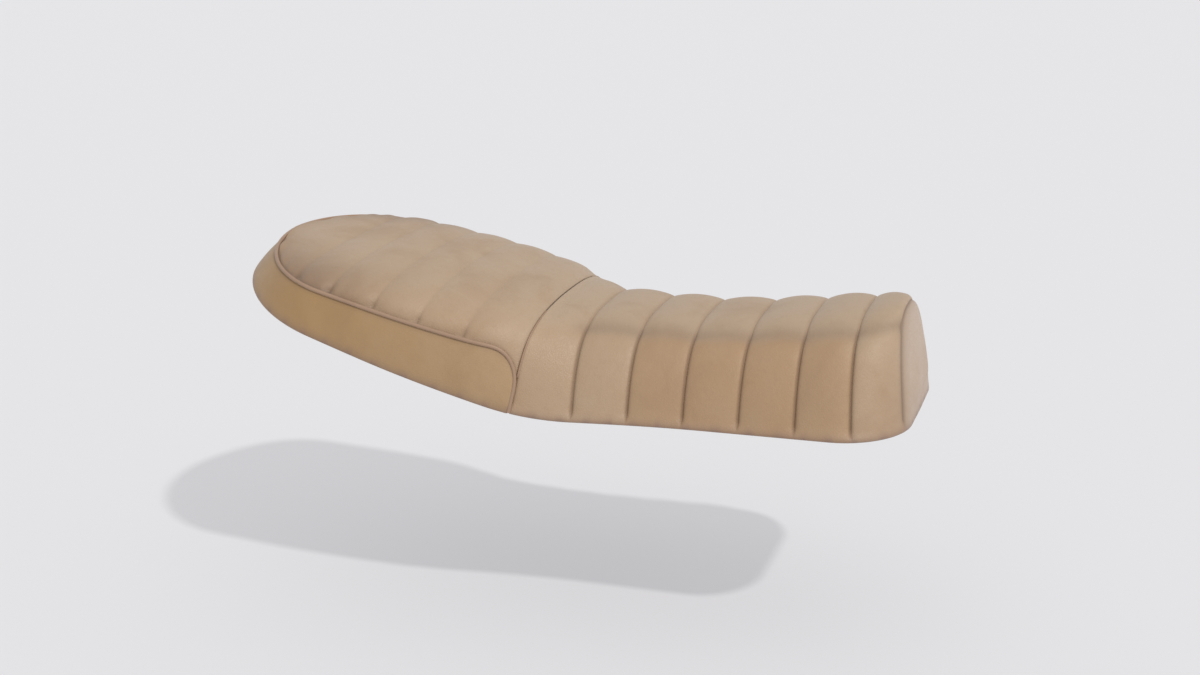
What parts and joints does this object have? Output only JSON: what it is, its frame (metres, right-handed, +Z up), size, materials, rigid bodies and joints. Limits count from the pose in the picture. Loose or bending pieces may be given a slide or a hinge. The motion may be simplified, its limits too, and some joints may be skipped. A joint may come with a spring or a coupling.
{
  "type": "bench saddle",
  "caption": "Long bench saddle with a tuck-and-roll leather cover, piped kicked-up tail and a nose hinge under a moulded pan.",
  "frame": {"origin": "centre of the hinge bracket's four bolt holes, on its lower face", "axes": "+X towards the nose, +Y to the rider's left, +Z up and square to the bracket"},
  "size_m": [0.6, 0.25, 0.1414],
  "materials": {
    "leather": "soft satin tan leather",
    "skirt_leather": "satin golden tan leather",
    "piping_leather": "satin brown-tan leather welt",
    "padding": "sewn foam with a cloth back",
    "foam": "moulded polyurethane foam",
    "pan_plastic": "textured black moulding",
    "rubber": "matt black rubber",
    "black_steel": "black powder coat",
    "zinc_steel": "zinc plate",
    "bronze": "plain bronze"
  },
  "bodies": {
    "frame_bracket": {"hinge_frame_leaf": "black_steel", "hinge_bush_right": "bronze", "hinge_bush_left": "bronze"},
    "saddle": {"pleated_front_cover": "leather", "pleated_rear_cover": "leather", "tail_skirt": "skirt_leather", "nose_panel": "leather", "tail_piping": "piping_leather", "hem_band": "skirt_leather", "hem_staples": "zinc_steel", "front_roll_padding": "padding", "rear_roll_padding": "padding", "skirt_padding": "padding", "nose_padding": "padding", "foam_core": "foam", "seat_pan": "pan_plastic", "rest_rear_right": "rubber", "rest_rear_left": "rubber", "rest_front_right": "rubber", "rest_front_left": "rubber", "rest_screws": "zinc_steel", "rest_nuts": "zinc_steel", "hinge_seat_leaf": "black_steel", "hinge_backing_plate": "zinc_steel", "hinge_bolts": "zinc_steel", "hinge_nuts": "zinc_steel", "hinge_pin": "zinc_steel", "hinge_washer": "zinc_steel", "hinge_clip": "zinc_steel", "latch_loop": "zinc_steel", "latch_plate": "black_steel", "latch_lock_nuts": "zinc_steel", "latch_backing_plate": "zinc_steel", "latch_nuts": "zinc_steel"}
  },
  "joints": [
    {"name": "saddle_tilt", "type": "hinge", "parent": "frame_bracket", "child": "saddle", "pos_m": [0.034, 0, 0.011], "axis": [0, 1, 0], "range_deg": [0, 80]}
  ]
}
